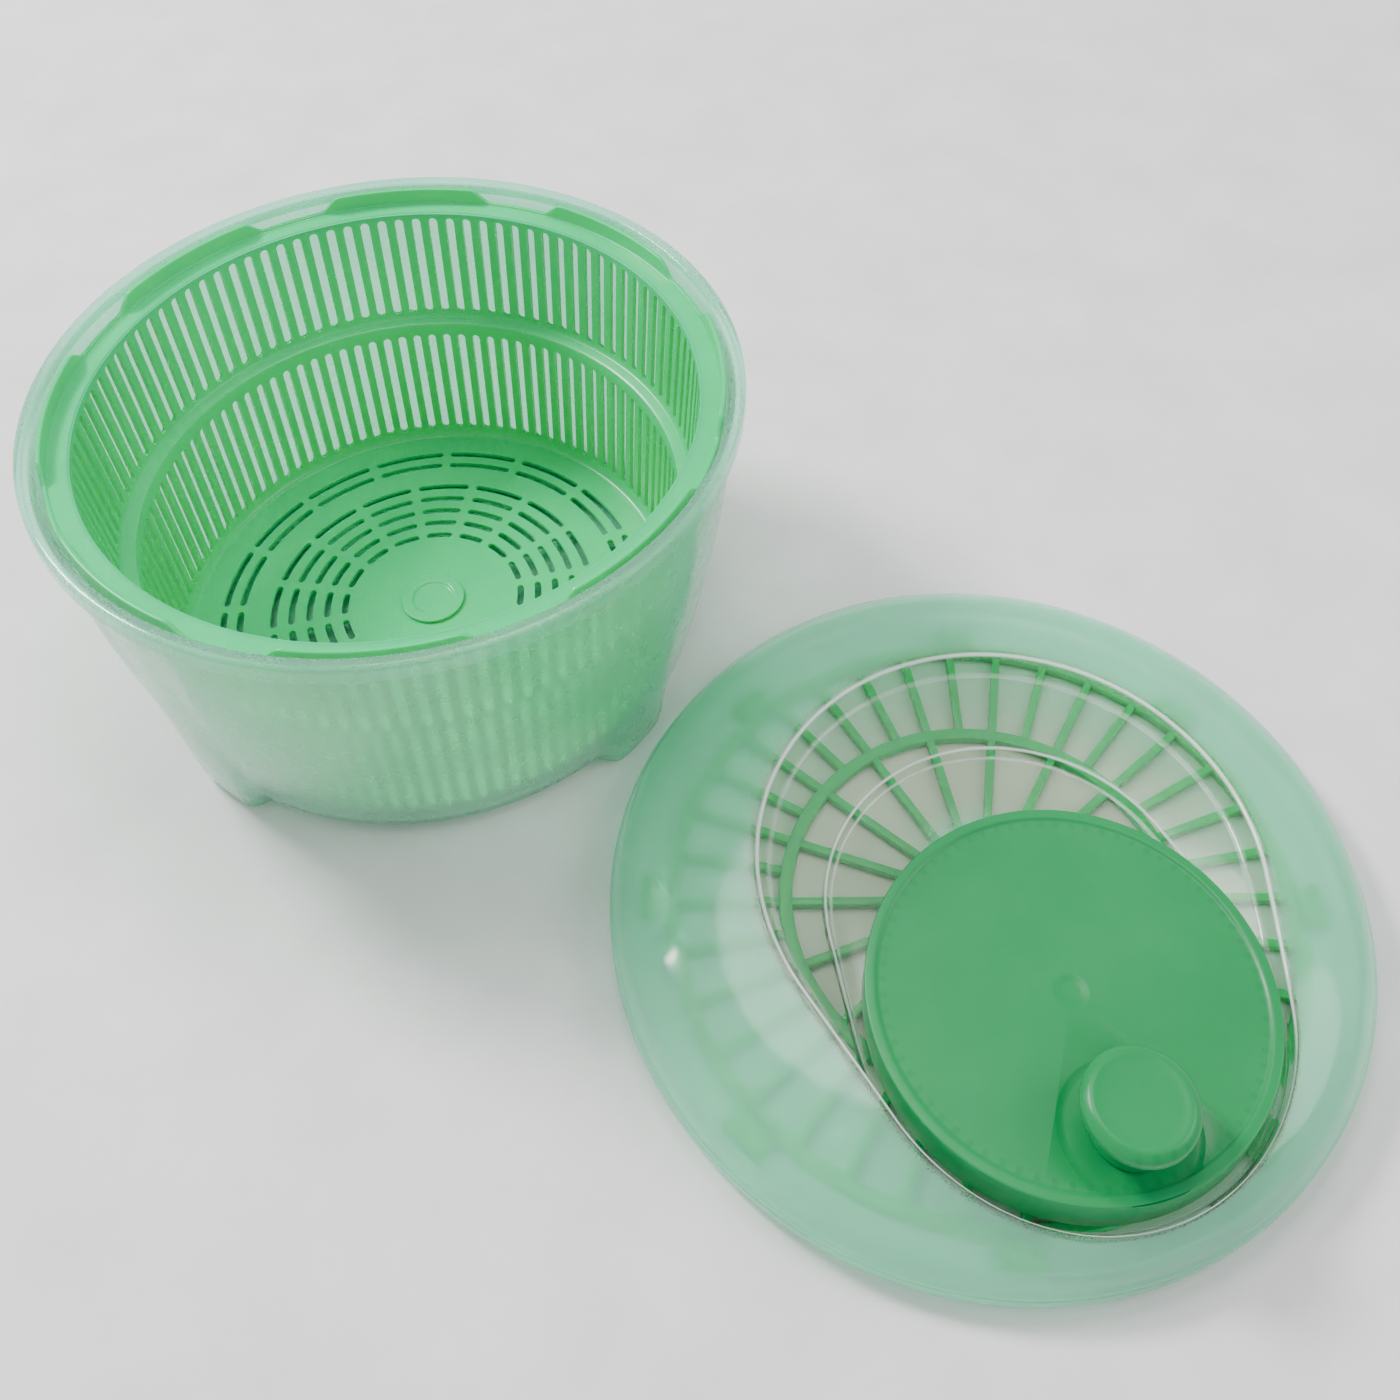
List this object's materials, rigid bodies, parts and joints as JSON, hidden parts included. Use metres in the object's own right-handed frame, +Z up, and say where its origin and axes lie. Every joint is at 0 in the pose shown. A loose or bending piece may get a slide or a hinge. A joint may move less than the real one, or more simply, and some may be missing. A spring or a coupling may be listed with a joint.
{
  "type": "salad spinner",
  "caption": "Crank-driven salad spinner: frosted footed bowl, slotted green basket, and its domed lid with a green crank disc lying beside it.",
  "frame": {"origin": "on the bowl's axis at the centre of its flat underside, at table height", "axes": "+Z up along the bowl's axis; the lid lies on the table toward +X and -Y"},
  "size_m": [0.4188, 0.4319, 0.1255],
  "materials": {
    "frosted": "frosted translucent natural polypropylene",
    "lid_clear": "translucent polypropylene, satin dome and clear glossy recess",
    "green": "glossy moulded",
    "green_disc": "satin moulded",
    "acetal": "natural moulded",
    "steel": "zinc plated"
  },
  "bodies": {
    "base": {"bowl": "frosted"},
    "pivot": {"pivot_cup": "green"},
    "basket": {"basket": "green"},
    "lid": {"lid_shell": "lid_clear", "drive_bush": "acetal"},
    "crank": {"crank_disc": "green_disc", "crank_washer": "steel", "crank_screw": "steel", "knob_spindle": "acetal"},
    "knob": {"knob": "green_disc"},
    "drive": {"drive_pinion": "acetal", "drive_plate": "green", "drive_washer": "steel", "drive_screw": "steel"}
  },
  "joints": [
    {"name": "basket_lift", "type": "slide", "parent": "base", "child": "pivot", "axis": [0, 0, 1], "range_m": [0, 0.15]},
    {"name": "basket_spin", "type": "hinge", "parent": "pivot", "child": "basket", "pos_m": [0, 0, 0.0072], "axis": [0, 0, 1], "continuous": true},
    {"name": "lid_lift", "type": "slide", "parent": "base", "child": "lid", "axis": [0.34, -0.3666, 0.866], "range_m": [0, 0.2]},
    {"name": "drive_spin", "type": "hinge", "parent": "lid", "child": "drive", "pos_m": [0.166, -0.179, 0.0049], "axis": [0, 0, 1], "continuous": true},
    {"name": "crank_spin", "type": "hinge", "parent": "lid", "child": "crank", "pos_m": [0.17209, -0.22863, 0.0289], "axis": [0, 0, 1], "continuous": true},
    {"name": "knob_spin", "type": "hinge", "parent": "crank", "child": "knob", "pos_m": [0.17134, -0.27192, 0.0349], "axis": [0, 0, 1], "continuous": true}
  ],
  "couplings": [
    {"joint": "crank_spin", "follows": "drive_spin", "ratio": 0.16667}
  ]
}
